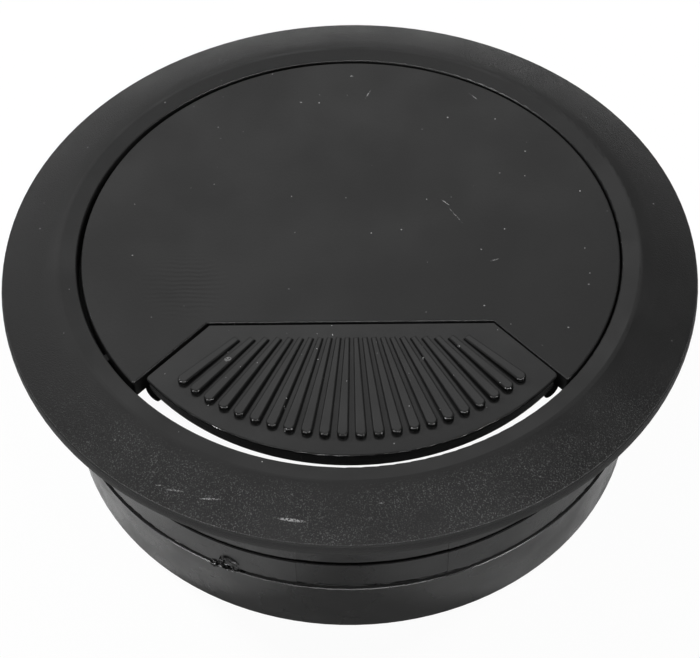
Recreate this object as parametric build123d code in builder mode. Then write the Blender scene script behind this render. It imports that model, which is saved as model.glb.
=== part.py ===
from build123d import *
import math
import os

os.makedirs("parts", exist_ok=True)

# A black moulded cable grommet for a 60 mm hole in a desk top, with a sprung flap.
# Millimetres. Z = 0 is the top of the desk and X = Y = 0 the middle of its hole.
# The flap is on the -Y side. Azimuths are turned from -Y towards +X.

# Ring: the sleeve that goes through the desk
sleeve_radius = 29.4
sleeve_wall = 1.7
sleeve_length = 20.0
foot_draft = 0.35               # the lowest band narrows by this towards its foot
foot_round = 0.2
line_top = 8.32                 # shallow line moulded round the sleeve
line_width = 0.48
line_cut = 0.2
line_edge_bevel = 0.09          # on the line's lower edge
insert_line_cut = 0.35          # the line is deeper across the mould insert
insert_azimuth = 4.0            # the insert's panel stands slightly back
insert_angle = 28.0
insert_cut = 0.04
parting_depth = 12.25           # parting line of the mould, a notch over a small step
parting_notch = 0.16
parting_notch_drop = 0.14
parting_step = 0.15
parting_step_drop = 0.34

# Ring: the flange that lies on the desk
flange_overhang = 4.6
flange_edge_height = 0.6        # widest point of the slightly rounded rim
rim_edge_inset = 0.12           # where the grained slope ends over a fine crease
rim_edge_height = 1.38
rim_edge_round = 0.06
crease_cut = 0.1
crease_height = 1.24
rim_top_inset = 0.08            # where the rim begins under the crease
rim_top_height = 1.12
rim_foot_inset = 0.06
slope_bulge = 0.1               # the slope is very slightly domed
crest_height = 3.04
crest_round = 1.2
band_width = 1.8                # smooth band between the crest and the mouth
mouth_inset = 2.9               # the mouth is this much narrower than the sleeve
mouth_edge_height = 2.8
mouth_edge_round = 0.15

# Ring: the ledge that carries the cap
ledge_width = 0.65
ledge_thickness = 1.6

# Cap
cap_shift = 0.13                # the cap's disc sits this far to the right between its grips
cap_thickness = 2.0
cap_clearance = 0.33            # round the cap in the ring's mouth
edge_round = 0.15
tip_round = 0.25                # the two corners beside the flap
grip_count = 6
grip_spread = 240.0             # round the back, clear of the flap
grip_radius = 0.4
grip_clearance = 0.03
grip_margin = 0.3               # above the cap's underside
grip_height = 0.8

# Flap
flap_shift = 0.14               # the flap sits this far to the right within its side play
fan_centre = 0.68               # centre of the flap's arc, in front of the middle
front_opening = 1.17            # crescent left open before the middle of the flap's arc
flap_draft = 0.4                # the front lip leans in by this at its foot
flap_back = 9.97                # back edge, in front of the middle
flap_back_half = 13.4
side_angle = 48.2               # of the slanted sides to the back edge
flap_gap = 0.25                 # between the flap and the cap
flap_corner_round = 0.5

# Flap: the fan of ribs
rib_count = 22
rib_spread = 88.0               # from the first rib to the last
rib_tip_margin = 1.9            # between the noses and the flap's front edge
rib_start_margin = 1.78         # between the flap's back edge and the ribs
rib_start_height = 0.22
rib_tip_height = 0.5
rib_share = 0.66                # rib width as a share of the pitch
rib_round = 0.18
rib_root = 0.6                  # depth of the ribs' roots inside the plate

# Flap: half-round ribs under the sides, which stop it flush under the cap
stop_radius = 0.95
stop_inset = 0.4                # centre line inside the flap's side
stop_centre_drop = 0.25         # below the flap's underside
stop_clearance = 0.05
stop_front_margin = 0.42        # behind the flap's front arc
stop_length = 4.6

# Hinge
pin_radius = 0.6
pin_ahead = 1.15                # pin axis in front of the flap's back edge
knuckle_radius = 1.1
knuckle_clearance = 0.15        # between the cap's lugs and the flap's underside
knuckle_inner = 7.6
knuckle_outer = 11.3
lug_gap = 0.3
lug_thickness = 1.8
lug_root = 2.6                  # length of a lug's root behind the notch
pin_fit = 0.05                  # radial, the flap turns on the pin
pin_hold = 0.01                 # radial, the lugs hold the pin
pin_stick_out = 0.25
pin_chamfer = 0.15

# Spring
wire_radius = 0.2
coil_clearance = 0.15           # between the pin and the coil
coil_turns = 5
coil_pitch = 0.48
leg_length = 5.5

# Worked out from the sizes above
flange_radius = sleeve_radius + flange_overhang
mouth_radius = sleeve_radius - mouth_inset
sleeve_bore_radius = sleeve_radius - sleeve_wall
ledge_radius = mouth_radius - ledge_width
flap_front_radius = mouth_radius - front_opening - fan_centre
cap_top = mouth_edge_height
seat_height = cap_top - cap_thickness
cap_radius = mouth_radius - cap_clearance
pin_y = -(flap_back + pin_ahead)
pin_z = seat_height - knuckle_clearance - knuckle_radius
past_rim = 2 * flange_radius
side_turn = math.radians(side_angle)
side_along = Vector(math.cos(side_turn), -math.sin(side_turn))
side_out = Vector(math.sin(side_turn), math.cos(side_turn))


def wedge(grow):
    """Corners of the flap's straight edges, moved outwards by grow and run on past the rim."""
    half = flap_back_half + grow * math.tan(side_turn / 2)
    corner = Vector(half, grow - flap_back)
    far = corner + side_along * past_rim
    return [(-far.X, far.Y), (-corner.X, corner.Y), (corner.X, corner.Y), (far.X, far.Y)]


def outward(azimuth):
    """Level direction that points out from the axis at the azimuth."""
    turn = math.radians(azimuth)
    return Vector(math.sin(turn), -math.cos(turn), 0)


def radial_plane(azimuth):
    """Plane through the axis, its X pointing out at the azimuth and its Y up."""
    out = outward(azimuth)
    return Plane(origin=(0, 0, 0), x_dir=out, z_dir=out.cross(Vector(0, 0, 1)))


# Outer ring: flange, sleeve and cap seat in one moulding
line_foot = line_top + line_width
line_floor = sleeve_radius - line_cut
line_lip = (sleeve_radius - line_edge_bevel, -line_foot)
line_bevel = (sleeve_radius, -line_foot - line_edge_bevel)
deep_floor = sleeve_radius - insert_line_cut
notch_floor = sleeve_radius - parting_notch
notch_depth = parting_depth + parting_notch_drop
step_radius = sleeve_radius + parting_step
step_depth = notch_depth + parting_step_drop
foot_radius = sleeve_radius - foot_draft
ledge_foot = seat_height - ledge_thickness
bore_top = ledge_foot - (sleeve_bore_radius - ledge_radius)
crest_radius = mouth_radius + band_width
rim_edge_radius = flange_radius - rim_edge_inset
slope_mid_radius = (crest_radius + rim_edge_radius) / 2
slope_mid_height = (crest_height + rim_edge_height) / 2 + slope_bulge
mouth_corner = (mouth_radius, mouth_edge_height)
crest = (crest_radius, crest_height)
rim_edge = (rim_edge_radius, rim_edge_height)
rim_crease = (rim_edge_radius - crease_cut, crease_height)
rim_top = (flange_radius - rim_top_inset, rim_top_height)
rim_foot = (flange_radius - rim_foot_inset, 0)
foot_corner = (foot_radius, -sleeve_length)

with BuildPart() as outer_ring:
    with BuildSketch(radial_plane(90)) as ring_section:
        with BuildLine():
            Line(mouth_corner, crest)
            ThreePointArc(crest, (slope_mid_radius, slope_mid_height), rim_edge)
            Polyline(rim_edge, rim_crease, rim_top)
            ThreePointArc(rim_top, (flange_radius, flange_edge_height), rim_foot)
            Polyline(
                rim_foot,
                (sleeve_radius, 0),
                (sleeve_radius, -line_top),
                (line_floor, -line_top),
                (line_floor, -line_foot),
                line_lip,
                line_bevel,
                (sleeve_radius, -parting_depth),
                (notch_floor, -notch_depth),
                (step_radius, -step_depth),
                foot_corner,
                (sleeve_bore_radius, -sleeve_length),
                (sleeve_bore_radius, bore_top),
                (ledge_radius, ledge_foot),
                (ledge_radius, seat_height),
                (mouth_radius, seat_height),
                mouth_corner,
            )
        make_face()
        fillet(ring_section.vertices().sort_by_distance((*crest, 0))[0], crest_round)
        fillet(ring_section.vertices().sort_by_distance((*rim_edge, 0))[0], rim_edge_round)
        fillet(ring_section.vertices().sort_by_distance((*mouth_corner, 0))[0], mouth_edge_round)
        fillet(ring_section.vertices().sort_by_distance((*foot_corner, 0))[0], foot_round)
    revolve(axis=Axis.Z)
    with BuildSketch(radial_plane(insert_azimuth - insert_angle / 2)):
        with Locations((sleeve_radius - insert_cut / 2, -parting_depth / 2)):
            Rectangle(insert_cut, parting_depth)
        with BuildLine():
            Polyline(
                (sleeve_radius, -line_top),
                (deep_floor, -line_top),
                (deep_floor, -line_foot),
                line_lip,
                line_bevel,
                close=True,
            )
        make_face()
    revolve(axis=Axis.Z, revolution_arc=insert_angle, mode=Mode.SUBTRACT)
outer_ring.part.label = "outer_ring"
export_step(outer_ring.part, "parts/outer_ring.step")

# Cap: flush cover with a notch for the flap, pushed into the ring's mouth
lug_inner = knuckle_outer + lug_gap
lug_outer = lug_inner + lug_thickness
lug_back = flap_gap - flap_back
lug_top = pin_z + knuckle_radius
grip_circle = mouth_radius - grip_clearance - grip_radius

with BuildPart() as cap_moulding:
    with BuildSketch(Plane.XY.offset(seat_height)) as cap_outline:
        Circle(cap_radius)
        with BuildSketch(mode=Mode.SUBTRACT):
            with BuildLine():
                Polyline(*wedge(flap_gap), close=True)
            make_face()
        tips = cap_outline.vertices().sort_by(Axis.Y)[:2]
        fillet(tips, tip_round)
    extrude(amount=cap_thickness)
    fillet(cap_moulding.faces().sort_by(Axis.Z)[-1].edges(), edge_round)
    with BuildSketch(Plane.XY.offset(seat_height + grip_margin)):
        with Locations((-cap_shift, 0)):
            with PolarLocations(grip_circle, grip_count, 90 - grip_spread / 2, grip_spread, endpoint=True):
                Circle(grip_radius)
    extrude(amount=grip_height)
    for side in (-1, 1):
        with BuildSketch(Plane.YZ.offset(side * lug_inner)):
            with Locations((pin_y, pin_z)):
                Circle(knuckle_radius)
            with BuildLine():
                Polyline(
                    (pin_y, lug_top),
                    (lug_back, lug_top),
                    (lug_back, seat_height + edge_round),
                    (lug_back + lug_root, seat_height + edge_round),
                    (lug_back + lug_root, seat_height),
                    (pin_y, pin_z - knuckle_radius),
                    close=True,
                )
            make_face()
        extrude(amount=side * lug_thickness)
    with BuildSketch(Plane.YZ.offset(-lug_outer)):
        with Locations((pin_y, pin_z)):
            Circle(pin_radius + pin_hold)
    extrude(amount=2 * lug_outer, mode=Mode.SUBTRACT)

with BuildPart() as cap:
    with Locations((cap_shift, 0, 0)):
        add(cap_moulding.part)
cap.part.label = "cap"
export_step(cap.part, "parts/cap.step")

# Fan of ribs, each climbing from its low root to a tall round nose
rib_pitch = rib_spread / (rib_count - 1)
rib_slope = math.tan(math.radians(rib_pitch / 2)) * rib_share
rib_tip_radius = flap_front_radius - rib_tip_margin
rib_start = flap_back + rib_start_margin - fan_centre
rib_depth = rib_root + rib_tip_height
rib_climb = rib_tip_height - rib_start_height

with BuildPart() as rib_fan:
    for index in range(rib_count):
        azimuth = -rib_spread / 2 + index * rib_pitch
        out = outward(azimuth)
        root = rib_start / math.cos(math.radians(azimuth))
        start = out * root + Vector(0, -fan_centre, cap_top + rib_start_height)
        ridge = out * (rib_tip_radius - root) + Vector(0, 0, rib_climb)
        across = Vector(0, 0, 1).cross(out)
        with BuildSketch(Plane(origin=start, x_dir=ridge, z_dir=ridge.cross(across))):
            with BuildLine():
                tip = ridge.length
                nose_radius = (root + tip) * rib_slope / (1 + rib_slope)
                back_half = root * rib_slope
                Polyline(
                    (tip - nose_radius, nose_radius),
                    (0, back_half),
                    (0, -back_half),
                    (tip - nose_radius, -nose_radius),
                )
                ThreePointArc((tip - nose_radius, -nose_radius), (tip, 0), (tip - nose_radius, nose_radius))
            make_face()
        extrude(amount=-rib_depth)
    rib_tops = rib_fan.faces().filter_by(lambda face: face.normal_at().Z > 0.9)
    fillet(rib_tops.edges(), rib_round)

# Flap: ribbed plate with its front lip, stop ribs and hinge knuckles
stop_axis_height = seat_height - stop_centre_drop
stop_top = seat_height - stop_clearance
stop_web = stop_radius + stop_inset
stop_start = Vector(flap_back_half, fan_centre - flap_back) - side_out * stop_inset
stop_reach = flap_front_radius - stop_front_margin
stop_run = math.sqrt(stop_reach**2 - stop_start.dot(side_out) ** 2) - stop_start.dot(side_along)
stop_front = stop_start + side_along * stop_run
knuckle_rear = pin_ahead - stop_clearance
knuckle_width = knuckle_radius + knuckle_rear
knuckle_height = seat_height + edge_round - pin_z

with BuildPart() as flap_moulding:
    with Locations((0, -fan_centre, seat_height)):
        Cone(
            flap_front_radius - flap_draft,
            flap_front_radius,
            cap_thickness,
            align=(Align.CENTER, Align.CENTER, Align.MIN),
        )
    with BuildSketch(Plane.XY.offset(seat_height)):
        with BuildLine():
            Polyline(*wedge(0), close=True)
        make_face()
    extrude(amount=cap_thickness, mode=Mode.INTERSECT)
    upright = flap_moulding.edges().filter_by(lambda edge: edge.length < 1.2 * cap_thickness)
    fillet(upright.sort_by(Axis.Y)[:2], flap_corner_round)
    fillet(flap_moulding.faces().sort_by(Axis.Z)[-1].edges(), edge_round)
    add(rib_fan.part)
    for side in (-1, 1):
        corner = (side * stop_front.X, stop_front.Y - fan_centre, 0)
        out = (side * side_out.X, side_out.Y, 0)
        back = (-side * side_along.X, -side_along.Y, 0)
        section = Plane(origin=corner, x_dir=out, z_dir=back)
        up = round(section.y_dir.Z)
        with BuildSketch(section):
            with Locations((0, up * stop_axis_height)):
                Circle(stop_radius)
            with Locations((0, up * (stop_top + stop_radius))):
                Rectangle(4 * stop_radius, 2 * stop_radius, mode=Mode.SUBTRACT)
            with Locations((stop_inset - stop_web / 2, up * seat_height)):
                Rectangle(stop_web, 2 * stop_centre_drop)
        extrude(amount=stop_length)
        with BuildSketch(Plane.YZ.offset(side * knuckle_inner)):
            with Locations((pin_y, pin_z)):
                Circle(knuckle_radius)
            with Locations((pin_y + (knuckle_rear - knuckle_radius) / 2, pin_z + knuckle_height / 2)):
                Rectangle(knuckle_width, knuckle_height)
        extrude(amount=side * (knuckle_outer - knuckle_inner))
    with BuildSketch(Plane.YZ.offset(-knuckle_outer)):
        with Locations((pin_y, pin_z)):
            Circle(pin_radius + pin_fit)
    extrude(amount=2 * knuckle_outer, mode=Mode.SUBTRACT)

with BuildPart() as flap:
    with Locations((cap_shift + flap_shift, 0, 0)):
        add(flap_moulding.part)
flap.part.label = "flap"
export_step(flap.part, "parts/flap.step")

# Hinge pin, held in the cap's lugs
pin_half = lug_outer + pin_stick_out

with BuildPart() as hinge_pin:
    with BuildSketch(Plane.YZ.offset(cap_shift - pin_half)):
        with Locations((pin_y, pin_z)):
            Circle(pin_radius)
    extrude(amount=2 * pin_half)
    chamfer(hinge_pin.edges(), pin_chamfer)
hinge_pin.part.label = "hinge_pin"
export_step(hinge_pin.part, "parts/hinge_pin.step")

# Torsion spring round the pin: one leg under the flap, the other under the cap
coil_length = coil_turns * coil_pitch

with BuildPart() as flap_spring:
    coil = Helix(
        pitch=coil_pitch,
        height=coil_length,
        radius=pin_radius + coil_clearance + wire_radius,
        center=(cap_shift - coil_length / 2, pin_y, pin_z),
        direction=(1, 0, 0),
    )
    with BuildSketch(Plane(origin=coil @ 0, z_dir=coil % 0)):
        Circle(wire_radius)
    sweep(path=coil)
    with BuildSketch(Plane(origin=coil @ 1, z_dir=coil % 1)):
        Circle(wire_radius)
    extrude(amount=leg_length)
    with BuildSketch(Plane(origin=coil @ 0, z_dir=-(coil % 0))):
        Circle(wire_radius)
    extrude(amount=leg_length)
flap_spring.part.label = "flap_spring"
export_step(flap_spring.part, "parts/flap_spring.step")
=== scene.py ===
import math
import bmesh
import bpy
from mathutils import Matrix, Vector


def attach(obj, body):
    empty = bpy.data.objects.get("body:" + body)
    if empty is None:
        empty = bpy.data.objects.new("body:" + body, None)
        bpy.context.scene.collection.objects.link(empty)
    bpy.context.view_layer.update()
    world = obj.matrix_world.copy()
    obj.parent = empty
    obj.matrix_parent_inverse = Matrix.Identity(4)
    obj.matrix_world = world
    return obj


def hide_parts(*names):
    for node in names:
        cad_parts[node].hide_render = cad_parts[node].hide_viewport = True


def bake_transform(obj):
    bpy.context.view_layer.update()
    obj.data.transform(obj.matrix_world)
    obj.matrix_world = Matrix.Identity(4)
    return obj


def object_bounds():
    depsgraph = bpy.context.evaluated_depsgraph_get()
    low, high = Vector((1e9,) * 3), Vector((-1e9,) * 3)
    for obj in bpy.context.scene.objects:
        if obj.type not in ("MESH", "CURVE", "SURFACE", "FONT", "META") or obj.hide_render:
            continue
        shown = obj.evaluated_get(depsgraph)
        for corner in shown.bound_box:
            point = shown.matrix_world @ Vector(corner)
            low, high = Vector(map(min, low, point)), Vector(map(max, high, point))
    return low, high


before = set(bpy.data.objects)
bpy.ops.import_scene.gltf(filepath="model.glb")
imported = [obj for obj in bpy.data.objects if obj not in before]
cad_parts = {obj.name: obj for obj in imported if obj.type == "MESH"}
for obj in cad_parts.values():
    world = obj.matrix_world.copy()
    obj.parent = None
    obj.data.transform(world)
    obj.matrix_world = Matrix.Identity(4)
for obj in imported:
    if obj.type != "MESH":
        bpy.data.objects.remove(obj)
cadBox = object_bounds()
mm = 0.001  # the camera's place and the object's own sizes are in mm, the sweep and the lamps in metres
scene = bpy.context.scene


def toLinear(hexText, alpha=1.0):
    # sRGB hex to the linear colour that the nodes take
    parts = [int(hexText[i:i + 2], 16) / 255 for i in (1, 3, 5)]
    return [p / 12.92 if p <= 0.04045 else ((p + 0.055) / 1.055) ** 2.4 for p in parts] + [alpha]


def addNode(tree, kind, inputs=None, **settings):
    node = tree.nodes.new(kind)
    for name, value in settings.items():
        setattr(node, name, value)
    for socket, value in (inputs or {}).items():
        if isinstance(value, bpy.types.NodeSocket):
            tree.links.new(value, node.inputs[socket])
        else:
            node.inputs[socket].default_value = value
    return node


def newTree(holder):
    holder.use_nodes = True
    holder.node_tree.nodes.clear()
    return holder.node_tree


def calculate(tree, operation, first, second):
    return addNode(tree, "ShaderNodeMath", {0: first, 1: second}, operation=operation).outputs[0]


def spread(tree, value, start, end, low=0.0, high=1.0, **settings):
    # the stretch from start to end laid onto low to high, and held there beyond it
    return addNode(tree, "ShaderNodeMapRange", inputs={
        "Value": value, "From Min": start, "From Max": end, "To Min": low, "To Max": high,
    }, **settings).outputs[0]


camera = {
    "place": (1.960 * mm, -124.79 * mm, 139.73 * mm),
    "turn": 0.9,  # degrees round the sleeve's axis
    "right": (0.99978, -0.01596, -0.01374),
    "up": (0.02106, 0.76788, 0.64024),
    "lens": 97.71,
    "sensorWidth": 36,
    "nearest": 5 * mm,
}
eye = bpy.data.objects.new("camera", bpy.data.cameras.new("camera"))
scene.collection.objects.link(eye)
eye.data.lens = camera["lens"]
eye.data.sensor_width = camera["sensorWidth"]
eye.data.sensor_fit = "HORIZONTAL"
eye.data.clip_start = camera["nearest"]
right, up = Vector(camera["right"]), Vector(camera["up"])
back = right.cross(up)
turned = Matrix.Rotation(math.radians(camera["turn"]), 3, "Z") @ Matrix((right, up, back)).transposed()
eye.matrix_world = Matrix.Translation(camera["place"]) @ turned.to_4x4()
scene.camera = eye

# the sweep is seen as white paper and still takes the object's shadow, and is clear from below
sweep = {
    "size": 3.0,
    "colour": "#F2F2F2",
    "seenShare": 0.96,  # how much of it the camera sees as plain white
    "mirroredShare": 0.1,  # the same for its reflections
}
bpy.ops.object.select_all(action="DESELECT")
bpy.ops.mesh.primitive_plane_add(size=sweep["size"], location=(0, 0, cadBox[0][2]))
floor = bpy.context.object
floor.name = "sweep"
paper = bpy.data.materials.new("white paper sweep")
tree = newTree(paper)
rays = addNode(tree, "ShaderNodeLightPath")
mirrored = calculate(tree, "MAXIMUM", rays.outputs["Is Glossy Ray"], rays.outputs["Is Transmission Ray"])
mirroredShare = calculate(tree, "MULTIPLY", mirrored, sweep["mirroredShare"])
seenShare = calculate(tree, "MULTIPLY", rays.outputs["Is Camera Ray"], sweep["seenShare"])
share = calculate(tree, "MAXIMUM", mirroredShare, seenShare)
matt = addNode(tree, "ShaderNodeBsdfDiffuse", {"Color": toLinear(sweep["colour"])})
glow = addNode(tree, "ShaderNodeEmission", {"Color": (1, 1, 1, 1), "Strength": 1.0})
mix = addNode(tree, "ShaderNodeMixShader", {0: share, 1: matt.outputs[0], 2: glow.outputs[0]})
clear = addNode(tree, "ShaderNodeBsdfTransparent")
below = addNode(tree, "ShaderNodeNewGeometry").outputs["Backfacing"]
mix = addNode(tree, "ShaderNodeMixShader", {0: below, 1: mix.outputs[0], 2: clear.outputs[0]})
addNode(tree, "ShaderNodeOutputMaterial", {"Surface": mix.outputs[0]})
floor.data.materials.append(paper)

# a dim room round the softboxes, palest behind, and white where the camera looks past the sweep
room = {
    "palestSide": (-0.45, 0.88, 0.0),
    "darkAir": 0.07,
    "paleAir": 0.20,
    "turnsFrom": -0.5,
    "turnsTo": 0.6,
    "seenAir": 1.0,
}
world = bpy.data.worlds.new("studio")
scene.world = world
tree = newTree(world)
rays = addNode(tree, "ShaderNodeLightPath")
seen = calculate(tree, "MAXIMUM", rays.outputs["Is Camera Ray"], rays.outputs["Is Transmission Ray"])
towards = addNode(tree, "ShaderNodeVectorMath", operation="DOT_PRODUCT", inputs={
    0: addNode(tree, "ShaderNodeTexCoord").outputs["Generated"], 1: room["palestSide"],
})
depth = spread(tree, towards.outputs["Value"], room["turnsFrom"], room["turnsTo"],
               room["darkAir"], room["paleAir"], interpolation_type="SMOOTHSTEP")
air = addNode(tree, "ShaderNodeBackground", {"Color": (1, 1, 1, 1), "Strength": depth})
white = addNode(tree, "ShaderNodeBackground", {"Color": (1, 1, 1, 1), "Strength": room["seenAir"]})
mix = addNode(tree, "ShaderNodeMixShader", {0: seen, 1: air.outputs[0], 2: white.outputs[0]})
addNode(tree, "ShaderNodeOutputWorld", {"Surface": mix.outputs[0]})

# glow is the brightness of a softbox's face, where the sweep's white is 1
lamps = {
    "backSoftbox": {"at": (-0.32, 0.78, 0.80), "size": (1.3, 0.60), "glow": 0.78},
    "topSoftbox": {"at": (0.00, 0.10, 1.10), "size": (1.1, 0.5), "glow": 0.42},
    "leftSpot": {"at": (-0.34, -0.40, 0.95), "size": (0.16, 0.16), "glow": 5.5},
    "rightSpot": {"at": (0.34, -0.40, 0.95), "size": (0.16, 0.16), "glow": 6.5},
    # these two light the sweep beside and behind the object, which the sleeve mirrors
    "leftFill": {"at": (-0.75, 0.60, 0.62), "size": (0.2, 0.2), "glow": 100.0, "shines": False},
    "rightFill": {"at": (0.80, 0.50, 0.62), "size": (0.2, 0.2), "glow": 58.0, "shines": False},
    # and these only give the rib noses and edges their glints
    "leftGlint": {"at": (-0.79, -0.635, 0.55), "size": (0.12, 0.26), "glow": 80.0, "lights": False},
    "rightGlint": {"at": (0.79, -0.635, 0.55), "size": (0.12, 0.26), "glow": 70.0, "lights": False},
    "frontGlint": {"at": (0.0, -0.90, 0.60), "size": (0.9, 0.08), "glow": 28.0, "lights": False},
}
for name, spec in lamps.items():
    data = bpy.data.lights.new(name, "AREA")
    data.shape = "RECTANGLE"
    data.size, data.size_y = spec["size"]
    data.energy = spec["glow"] * math.pi * spec["size"][0] * spec["size"][1]
    lamp = bpy.data.objects.new(name, data)
    scene.collection.objects.link(lamp)
    lamp.visible_diffuse = spec.get("lights", True)
    lamp.visible_glossy = spec.get("shines", True)
    lamp.location = spec["at"]
    lamp.rotation_euler = (-Vector(spec["at"])).to_track_quat("-Z", "Y").to_euler()
print("camera, sweep and softboxes are set")


def startMaterial(name):
    material = bpy.data.materials.new(name)
    tree = newTree(material)
    place = addNode(tree, "ShaderNodeTexCoord").outputs["Object"]
    return material, tree, place


def endMaterial(tree, inputs):
    shader = addNode(tree, "ShaderNodeBsdfPrincipled", inputs)
    addNode(tree, "ShaderNodeOutputMaterial", {"Surface": shader.outputs[0]})


def noise(tree, place, size, detail):
    # 0 to 1, with lumps of about the given size in millimetres
    lumps = addNode(tree, "ShaderNodeTexNoise",
                    {"Vector": place, "Scale": 1 / (size * mm), "Detail": detail})
    return lumps.outputs["Fac"]


def bump(tree, height, depth, strength=1.0, under=None):
    # depth in millimetres, under the bump that this one lies on
    normal = {} if under is None else {"Normal": under}
    return addNode(tree, "ShaderNodeBump", inputs={
        "Height": height, "Strength": strength, "Distance": depth * mm, **normal,
    }).outputs[0]


def mixValues(tree, share, first, second):
    return addNode(tree, "ShaderNodeMix", data_type="FLOAT",
                   inputs={0: share, 2: first, 3: second}).outputs[0]


# black with pale marks; on the ring the pale grain tips are partly painted sparkle
def paleMarkColour(tree, finish, pale):
    return addNode(tree, "ShaderNodeMix", data_type="RGBA", inputs={
        0: pale, 6: toLinear(finish["black"]), 7: toLinear(finish["paleMark"]),
    }).outputs[2]


plasticIor = 1.52
cloudRange = (0.35, 0.65)  # nearly all of a noise lies between these
markEdge = {
    "crumb": 1 / 7,  # mm, of the noise that breaks up a mark
    "crumbRange": (0.40, 0.56),
    "fullFrom": 0.55,  # of the way out from a mark's middle, where it begins to fade
}


def rubbedPlaces(tree, place, marks):
    # 0 to 1 over the scratches, each an ellipse in plan that a fine noise breaks up
    ragged = spread(tree, noise(tree, place, markEdge["crumb"], detail=2.0), *markEdge["crumbRange"])
    total = None
    for mark in marks:
        x, y = mark["at"]
        local = addNode(tree, "ShaderNodeMapping", vector_type="TEXTURE", inputs={
            "Vector": place,
            "Location": (x * mm, y * mm, 0.0),
            "Rotation": (0.0, 0.0, math.radians(mark["turn"])),
            "Scale": (mark["long"] / 2 * mm, mark["wide"] / 2 * mm, 1.0),
        })
        reach = addNode(tree, "ShaderNodeVectorMath", {0: local.outputs[0]}, operation="LENGTH")
        shape = spread(tree, reach.outputs["Value"], 1.0, markEdge["fullFrom"], 0.0, mark["strength"])
        total = shape if total is None else calculate(tree, "MAXIMUM", total, shape)
    return calculate(tree, "MULTIPLY", total, ragged)


speckRange = {
    "smallest": 0.4,  # share of the dust's size
    "dimmest": 0.15,  # share of full paleness
}


def dustSpecks(tree, place, spacing, size, share):
    # loose dust in plan: about one ragged speck in each chosen cell of the given spacing
    bend = addNode(tree, "ShaderNodeTexNoise", {"Vector": place, "Scale": 1 / (size * mm), "Detail": 1.0})
    bent = addNode(tree, "ShaderNodeVectorMath", operation="MULTIPLY_ADD", inputs={
        0: bend.outputs["Color"], 1: (size * mm, size * mm, 0.0), 2: place,
    })
    cells = addNode(tree, "ShaderNodeTexVoronoi", voronoi_dimensions="2D",
                    inputs={"Vector": bent.outputs[0], "Scale": 1 / (spacing * mm)})
    drawn = addNode(tree, "ShaderNodeSeparateColor", {"Color": cells.outputs["Color"]})
    chosen = calculate(tree, "GREATER_THAN", drawn.outputs[0], 1 - share)
    width = spread(tree, drawn.outputs[1], 0.0, 1.0,
                   speckRange["smallest"] * size / spacing, size / spacing)
    speck = calculate(tree, "LESS_THAN", cells.outputs["Distance"], width)
    paleness = spread(tree, drawn.outputs[2], 0.0, 1.0, speckRange["dimmest"])
    return calculate(tree, "MULTIPLY", calculate(tree, "MULTIPLY", speck, chosen), paleness)


# Cap: injection-moulded black ABS from a stoned mould face. A satin black that mirrors the softboxes
# weakly and broadly, with dust, a few pale scratches, and faint flow waves behind the flap's left end.
capFinish = {
    "black": "#161616",
    "paleMark": "#9A9A9A",
    "roughness": (0.34, 0.46),
    "cloudSize": 9.0,  # of the patches in the satin
    "waveAt": (-15.8, -5.1),
    "waveSpacing": 0.55,
    "waveReach": 5.4,
    "waveFullTo": 0.4,  # share of the reach where they stand at full height
    "waveBend": 6.0,
    "waveDepth": 0.014,
    "bandScale": 0.314,  # a band texture's scale times its spacing in metres
    "ripple": 0.35,
    "rippleDepth": 0.009,
    "dust": {"spacing": 2.6, "size": 0.085, "share": 0.2},
    "marks": [
        {"at": (0.3, 24.1), "long": 0.35, "wide": 0.25, "turn": 0, "strength": 1.0},
        {"at": (2.0, 21.3), "long": 1.6, "wide": 0.14, "turn": 65, "strength": 0.6},
        {"at": (13.0, 20.8), "long": 1.5, "wide": 0.14, "turn": -50, "strength": 0.6},
        {"at": (9.6, 5.6), "long": 1.3, "wide": 0.14, "turn": -45, "strength": 0.8},
        {"at": (10.5, 3.9), "long": 2.8, "wide": 0.12, "turn": -58, "strength": 0.6},
        {"at": (14.1, -2.1), "long": 1.0, "wide": 0.16, "turn": 20, "strength": 0.5},
        {"at": (-5.0, 20.2), "long": 0.3, "wide": 0.2, "turn": 0, "strength": 0.9},
    ],
}
capAbs, tree, place = startMaterial("satin black moulded ABS")
cloud = noise(tree, place, capFinish["cloudSize"], detail=6.0)
roughness = spread(tree, cloud, *cloudRange, *capFinish["roughness"])
scratches = rubbedPlaces(tree, place, capFinish["marks"])
pale = calculate(tree, "MAXIMUM", scratches, dustSpecks(tree, place, **capFinish["dust"]))
waveCentre = addNode(tree, "ShaderNodeMapping", vector_type="TEXTURE", inputs={
    "Vector": place,
    "Location": (capFinish["waveAt"][0] * mm, capFinish["waveAt"][1] * mm, 0.0),
})
waves = addNode(tree, "ShaderNodeTexWave", wave_type="BANDS", bands_direction="Y", inputs={
    "Vector": waveCentre.outputs[0], "Scale": capFinish["bandScale"] / (capFinish["waveSpacing"] * mm),
    "Distortion": capFinish["waveBend"], "Detail": 2.0, "Detail Scale": 0.5,
})
waveReach = addNode(tree, "ShaderNodeVectorMath", {0: waveCentre.outputs[0]}, operation="LENGTH")
waveFade = spread(tree, waveReach.outputs["Value"], capFinish["waveReach"] * mm,
                  capFinish["waveFullTo"] * capFinish["waveReach"] * mm)
waveHeight = calculate(tree, "MULTIPLY", waves.outputs["Fac"], waveFade)
waveBump = bump(tree, waveHeight, capFinish["waveDepth"])
ripples = noise(tree, place, capFinish["ripple"], detail=3.0)
endMaterial(tree, {
    "Base Color": paleMarkColour(tree, capFinish, pale), "Roughness": roughness, "IOR": plasticIor,
    "Normal": bump(tree, ripples, capFinish["rippleDepth"], under=waveBump),
})

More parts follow.
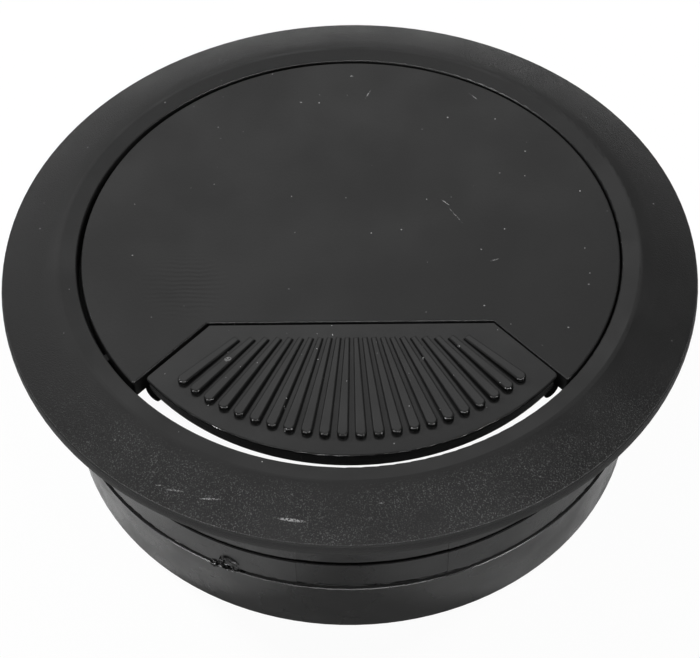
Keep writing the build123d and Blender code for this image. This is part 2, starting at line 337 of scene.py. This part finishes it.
# Flap: the same plastic from a brighter polished mould, so its rib noses and edges glint
flapFinish = {
    "black": "#161616",
    "paleMark": "#A8A8A8",
    "roughness": (0.17, 0.27),
    "cloudSize": 5.0,
    "ripple": 0.3,
    "rippleDepth": 0.005,
    "rippleStrength": 0.6,
    "dust": {"spacing": 1.4, "size": 0.065, "share": 0.13},
    "marks": [
        {"at": (-11.2, -14.4), "long": 0.8, "wide": 0.6, "turn": 20, "strength": 0.42},
        {"at": (10.2, -13.0), "long": 0.4, "wide": 0.2, "turn": -40, "strength": 0.5},
    ],
}
flapAbs, tree, place = startMaterial("polished black moulded ABS")
cloud = noise(tree, place, flapFinish["cloudSize"], detail=3.0)
roughness = spread(tree, cloud, *cloudRange, *flapFinish["roughness"])
nicks = rubbedPlaces(tree, place, flapFinish["marks"])
pale = calculate(tree, "MAXIMUM", nicks, dustSpecks(tree, place, **flapFinish["dust"]))
ripples = noise(tree, place, flapFinish["ripple"], detail=3.0)
endMaterial(tree, {
    "Base Color": paleMarkColour(tree, flapFinish, pale), "Roughness": roughness, "IOR": plasticIor,
    "Normal": bump(tree, ripples, flapFinish["rippleDepth"], flapFinish["rippleStrength"]),
})

# Ring: black ABS. The flange's slope comes from a spark-eroded mould face, whose craters leave tiny shiny
# bumps that sparkle. The band inside it is satin and the sleeve is smoother, with faint drag lines.
# The grain's tips in front are painted pale, partly as rubbing and partly as painted sparkle.
ringFinish = {
    "black": "#161616",
    "paleMark": "#B4B4B4",
    "satinRoughness": (0.34, 0.50),
    "cloudSize": 6.0,
    "sleeveRoughness": (0.20, 0.36),
    "sinkSize": 5.0,  # shallow sinks in the sleeve's wall
    "sinkDepth": 0.14,
    "dragSize": 0.5,
    "dragStretch": 0.06,  # one over how far the drag lines are drawn out along the sleeve
    "dragDepth": 0.006,
    "dragStrength": 0.5,
    "grainRoughness": (0.31, 0.42),
    "grainSize": 0.13,  # real craters are 0.03 to 0.1 mm, drawn coarser so that they show
    "grainHeight": 0.05,
    "tipRange": (0.54, 0.70),  # of the grain's noise, from which its tips are painted pale: rubbing, and painted sparkle
    "tipWearAndSparkle": 0.26,
    "wearAndSparkleFrom": (-14.0, -25.0),  # y between which the pale tips begin, in front of the flap: rubbing there, and painted sparkle on the front slope
    "wearAndSparklePatch": 5.0,
    "wearAndSparkleLeast": 0.25,
    "grainFrom": (28.2, 29.8),  # radii between which the grain begins
    "sleeveBelow": -0.3,  # height under which the smooth sleeve finish holds
    "sleeveFade": 0.3,
    "mattBands": [(-12.65, -12.38), (-8.92, -8.78)],  # heights of the parting step and the line's bevel
    "mattRoughness": 0.5,
    "cleanSheen": 0.5,  # specular level of clean plastic, then of the bands and of the rim
    "mattSheen": 0.05,
    "rimSheen": 0.3,
    "rimBelow": 1.3,  # height under which the flange's rim is matt
    "rimRoughness": 0.62,
    "dust": {"spacing": 1.9, "size": 0.09, "share": 0.07},
    "marks": [
        {"at": (-5.0, -31.6), "long": 2.7, "wide": 0.34, "turn": -9, "strength": 1.0},
        {"at": (-12.2, -29.35), "long": 2.2, "wide": 0.2, "turn": -6, "strength": 0.7},
        {"at": (-15.4, -28.3), "long": 2.0, "wide": 0.16, "turn": -12, "strength": 0.6},
        {"at": (-16.8, -27.7), "long": 0.9, "wide": 0.14, "turn": -10, "strength": 0.5},
        {"at": (2.9, -30.2), "long": 0.6, "wide": 0.2, "turn": 5, "strength": 0.5},
    ],
}
ringAbs, tree, place = startMaterial("spark-eroded black moulded ABS")
axes = addNode(tree, "ShaderNodeSeparateXYZ", {0: place})
level = addNode(tree, "ShaderNodeCombineXYZ", {0: axes.outputs[0], 1: axes.outputs[1]})
radius = addNode(tree, "ShaderNodeVectorMath", {0: level.outputs[0]}, operation="LENGTH")
outside = spread(tree, radius.outputs["Value"], *(r * mm for r in ringFinish["grainFrom"]))
height = axes.outputs[2]
above = spread(tree, height, ringFinish["sleeveBelow"] * mm,
               (ringFinish["sleeveBelow"] + ringFinish["sleeveFade"]) * mm)
grained = calculate(tree, "MULTIPLY", outside, above)
onTop = calculate(tree, "GREATER_THAN", height, ringFinish["rimBelow"] * mm)
onRim = calculate(tree, "SUBTRACT", above, onTop)
cloud = noise(tree, place, ringFinish["cloudSize"], detail=6.0)
satin = spread(tree, cloud, *cloudRange, *ringFinish["satinRoughness"])
smooth = spread(tree, cloud, *cloudRange, *ringFinish["sleeveRoughness"])
sparked = spread(tree, cloud, *cloudRange, *ringFinish["grainRoughness"])
sheen = ringFinish["cleanSheen"]
for low, high in ringFinish["mattBands"]:
    band = addNode(tree, "ShaderNodeMath", operation="COMPARE", inputs={
        0: height, 1: (low + high) / 2 * mm, 2: (high - low) / 2 * mm,
    }).outputs[0]
    smooth = mixValues(tree, band, smooth, ringFinish["mattRoughness"])
    sheen = mixValues(tree, band, sheen, ringFinish["mattSheen"])
sheen = mixValues(tree, onRim, sheen, ringFinish["rimSheen"])
roughness = mixValues(tree, above, smooth, satin)
roughness = mixValues(tree, grained, roughness, sparked)
roughness = mixValues(tree, onRim, roughness, ringFinish["rimRoughness"])
grain = noise(tree, place, ringFinish["grainSize"], detail=2.0)
# grain tips painted pale in front: rubbing, and painted sparkle
wornAndSparkleTips = spread(tree, grain, *ringFinish["tipRange"], 0.0, ringFinish["tipWearAndSparkle"])
wearAndSparklePlace = spread(tree, axes.outputs[1], *(y * mm for y in ringFinish["wearAndSparkleFrom"]))
patches = spread(tree, noise(tree, place, ringFinish["wearAndSparklePatch"], detail=2.0), *cloudRange,
                 ringFinish["wearAndSparkleLeast"])
for share in (grained, onTop, wearAndSparklePlace, patches):
    wornAndSparkleTips = calculate(tree, "MULTIPLY", wornAndSparkleTips, share)
scuffs = rubbedPlaces(tree, place, ringFinish["marks"])
pale = calculate(tree, "MAXIMUM", scuffs, dustSpecks(tree, place, **ringFinish["dust"]))
pale = calculate(tree, "MAXIMUM", calculate(tree, "MULTIPLY", pale, onTop), wornAndSparkleTips)
sinks = noise(tree, place, ringFinish["sinkSize"], detail=1.0)
onSleeve = calculate(tree, "SUBTRACT", 1.0, above)
sinkBump = bump(tree, calculate(tree, "MULTIPLY", sinks, onSleeve), ringFinish["sinkDepth"])
drag = addNode(tree, "ShaderNodeMapping",
               {"Vector": place, "Scale": (1.0, 1.0, ringFinish["dragStretch"])})
dragLines = noise(tree, drag.outputs[0], ringFinish["dragSize"], detail=2.0)
dragBump = bump(tree, dragLines, ringFinish["dragDepth"], ringFinish["dragStrength"], under=sinkBump)
grainHeight = calculate(tree, "MULTIPLY", grain, grained)
endMaterial(tree, {
    "Base Color": paleMarkColour(tree, ringFinish, pale), "Roughness": roughness, "IOR": plasticIor,
    "Specular IOR Level": sheen,
    "Normal": bump(tree, grainHeight, ringFinish["grainHeight"], under=dragBump),
})

# Pin and spring: cold-drawn carbon steel. A bright grey metal with fine lines along the pin.
steelFinish = {
    "steel": "#B4B2AE",
    "roughness": (0.22, 0.38),
    "lineSpacing": 0.05,
    "lineStretch": 0.05,  # one over how far the lines are drawn out along x
    "lineRange": (0.3, 0.7),
    "lineDepth": 0.004,
    "lineStrength": 0.4,
}
drawnSteel, tree, place = startMaterial("cold-drawn steel wire")
along = addNode(tree, "ShaderNodeMapping",
                {"Vector": place, "Scale": (steelFinish["lineStretch"], 1.0, 1.0)})
lines = noise(tree, along.outputs[0], steelFinish["lineSpacing"], detail=2.0)
endMaterial(tree, {
    "Base Color": toLinear(steelFinish["steel"]), "Metallic": 1.0,
    "Roughness": spread(tree, lines, *steelFinish["lineRange"], *steelFinish["roughness"]),
    "Normal": bump(tree, lines, steelFinish["lineDepth"], steelFinish["lineStrength"]),
})

finishes = {
    "outer_ring": ringAbs,
    "cap": capAbs,
    "flap": flapAbs,
    "hinge_pin": drawnSteel,
    "flap_spring": drawnSteel,
}
for node, finish in finishes.items():
    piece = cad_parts[node]
    piece.data.materials.clear()
    piece.data.materials.append(finish)
print("finishes are on the moulded and drawn pieces")


def selectOnly(piece):
    bpy.ops.object.select_all(action="DESELECT")
    piece.select_set(True)
    bpy.context.view_layer.objects.active = piece


def settle(piece):
    # place into the mesh, so that the object sits at the origin
    selectOnly(piece)
    bpy.ops.object.transform_apply(location=True, rotation=True, scale=True)


def applyModifiers(piece):
    bpy.context.view_layer.objects.active = piece
    for modifier in list(piece.modifiers):
        bpy.ops.object.modifier_apply(modifier=modifier.name)


# Torsion spring: the wire wound as the solid shows it, with a straight leg drawn out at each end
spring = {
    "axis": (-11.12, -0.45),  # y and z of the pin
    "middle": 0.13,  # x, as far right as the cap sits in its play
    "wire": 0.2,
    "coil": 0.95,
    "turns": 5,
    "pitch": 0.48,
    "leg": 5.5,
    "wireSides": 16,
    "turnSteps": 28,
    "smoothUnder": 40,  # degrees
}
half = spring["turns"] * spring["pitch"] / 2
lead = math.atan2(spring["pitch"], 2 * math.pi * spring["coil"])
bpy.ops.object.select_all(action="DESELECT")
bpy.ops.mesh.primitive_circle_add(
    vertices=spring["wireSides"], radius=spring["wire"] * mm, fill_type="NOTHING",
    location=(0, 0, spring["coil"] * mm), rotation=(math.radians(90), 0, lead),
)
coil = bpy.context.object
coil.name = "springWire"
settle(coil)
wind = coil.modifiers.new("wind", "SCREW")
wind.axis = "X"
wind.angle = math.radians(360 * spring["turns"])
wind.screw_offset = spring["turns"] * spring["pitch"] * mm
wind.steps = wind.render_steps = spring["turns"] * spring["turnSteps"]
wind.use_merge_vertices = False
applyModifiers(coil)
bpy.ops.object.mode_set(mode="EDIT")
for side in (-1, 1):
    # the open end of the wire is drawn out into a leg
    bpy.ops.mesh.select_all(action="DESELECT")
    bpy.ops.object.mode_set(mode="OBJECT")
    count = spring["wireSides"]
    ends = coil.data.vertices[:count] if side < 0 else coil.data.vertices[-count:]
    ends = [v.index for v in ends]
    bpy.ops.object.mode_set(mode="EDIT")
    net = bmesh.from_edit_mesh(coil.data)
    net.verts.ensure_lookup_table()
    for index in ends:
        net.verts[index].select = True
    net.select_flush(True)
    along = Vector((math.sin(lead), -math.cos(lead), 0)) * spring["leg"] * mm
    bmesh.update_edit_mesh(coil.data)
    bpy.ops.mesh.select_mode(type="EDGE")
    bpy.ops.mesh.extrude_region_move(TRANSFORM_OT_translate={"value": tuple(side * along)})
    bpy.ops.mesh.edge_face_add()
    bpy.ops.mesh.select_mode(type="VERT")
bpy.ops.mesh.select_all(action="SELECT")
bpy.ops.mesh.normals_make_consistent(inside=False)
bpy.ops.object.mode_set(mode="OBJECT")
coil.location = ((spring["middle"] - half) * mm, spring["axis"][0] * mm, spring["axis"][1] * mm)
settle(coil)
bpy.ops.object.shade_smooth_by_angle(angle=math.radians(spring["smoothUnder"]))
coil.data.materials.append(drawnSteel)
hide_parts("flap_spring")
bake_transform(coil)
print("torsion spring is wound")


def roughen(piece, amount, seed):
    # moves every point by up to the amount, as torn or squeezed-out plastic stands
    selectOnly(piece)
    bpy.ops.object.mode_set(mode="EDIT")
    bpy.ops.mesh.select_all(action="SELECT")
    bpy.ops.transform.vertex_random(offset=amount * mm, uniform=1.0, seed=seed, wait_for_input=False)
    bpy.ops.object.mode_set(mode="OBJECT")


def flashBead(name, flash):
    # a thin ragged ring of plastic, lying level
    bpy.ops.object.select_all(action="DESELECT")
    bpy.ops.mesh.primitive_torus_add(
        major_radius=flash["radius"] * mm, minor_radius=flash["bead"] * mm,
        major_segments=flash["steps"], minor_segments=flash["sides"],
        location=(flash["centre"][0] * mm, flash["centre"][1] * mm, flash["height"] * mm),
    )
    bead = bpy.context.object
    bead.name = name
    settle(bead)
    roughen(bead, flash["ragged"], flash["seed"])
    return bead


# Flash: the thin ragged bead that the mould squeezed out along the sleeve's parting line
partingFlash = {
    "centre": (0.0, 0.0),
    "radius": 29.34,
    "height": -12.22,
    "bead": 0.03,
    "ragged": 0.07,
    "steps": 960,
    "sides": 6,
    "seed": 3,
}
bead = flashBead("partingFlash", partingFlash)
bead.data.materials.append(ringAbs)
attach(bead, "grommet")

# Flash along the flap's front top edge, which the light catches as a broken line
lipFlash = {
    "centre": (0.27, -0.68),
    "radius": 24.6,
    "height": 2.755,
    "bead": 0.03,
    "ragged": 0.022,
    "steps": 1200,
    "sides": 6,
    "seed": 5,
    "endsAt": -17.4,  # y of its two ends
}
bead = flashBead("lipFlash", lipFlash)
bpy.ops.object.mode_set(mode="EDIT")
bpy.ops.mesh.select_all(action="SELECT")
bpy.ops.mesh.bisect(plane_co=(0, lipFlash["endsAt"] * mm, 0), plane_no=(0, 1, 0),
                    clear_outer=True, use_fill=True)
bpy.ops.object.mode_set(mode="OBJECT")
bead.data.materials.append(flapAbs)
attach(bead, "flap")

# Gate scar: torn plastic where the runner was broken off, on the parting line left of the front
gateScar = {
    "sleeveRadius": 29.4,
    "sunk": 0.25,  # how far a tear sinks into the sleeve, as a share of its rope's radius
    "steps": 40,
    "sides": 16,
    "tears": [
        {"azimuth": -23.1, "height": -11.9, "ring": 0.78, "rope": 0.25, "ragged": 0.17, "seed": 11},
        {"azimuth": -26.1, "height": -12.75, "ring": 0.32, "rope": 0.2, "ragged": 0.12, "seed": 12},
        {"azimuth": -22.0, "height": -12.6, "ring": 0.3, "rope": 0.16, "ragged": 0.1, "seed": 13},
        {"azimuth": -20.4, "height": -12.75, "ring": 0.22, "rope": 0.12, "ragged": 0.08, "seed": 14},
        # and a nib of its own in front, under the sleeve's line
        {"azimuth": 1.8, "height": -9.1, "ring": 0.08, "rope": 0.07, "ragged": 0.03, "seed": 15},
    ],
}
lumps = []
for tear in gateScar["tears"]:
    turn = math.radians(tear["azimuth"])
    reach = (gateScar["sleeveRadius"] - gateScar["sunk"] * tear["rope"]) * mm
    bpy.ops.object.select_all(action="DESELECT")
    bpy.ops.mesh.primitive_torus_add(
        major_radius=tear["ring"] * mm, minor_radius=tear["rope"] * mm,
        major_segments=gateScar["steps"], minor_segments=gateScar["sides"],
        location=(reach * math.sin(turn), -reach * math.cos(turn), tear["height"] * mm),
        rotation=(math.radians(90), 0, turn),
    )
    lump = bpy.context.object
    settle(lump)
    roughen(lump, tear["ragged"], tear["seed"])
    soften = lump.modifiers.new("soften", "SMOOTH")
    soften.iterations = 1
    applyModifiers(lump)
    lumps.append(lump)
bpy.ops.object.select_all(action="DESELECT")
for lump in lumps:
    lump.select_set(True)
bpy.context.view_layer.objects.active = lumps[0]
bpy.ops.object.join()
scar = bpy.context.object
scar.name = "gateScar"
scar.data.materials.clear()
scar.data.materials.append(ringAbs)
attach(scar, "grommet")
print("flash and gate scar are on")

scene.view_settings.view_transform = "Standard"
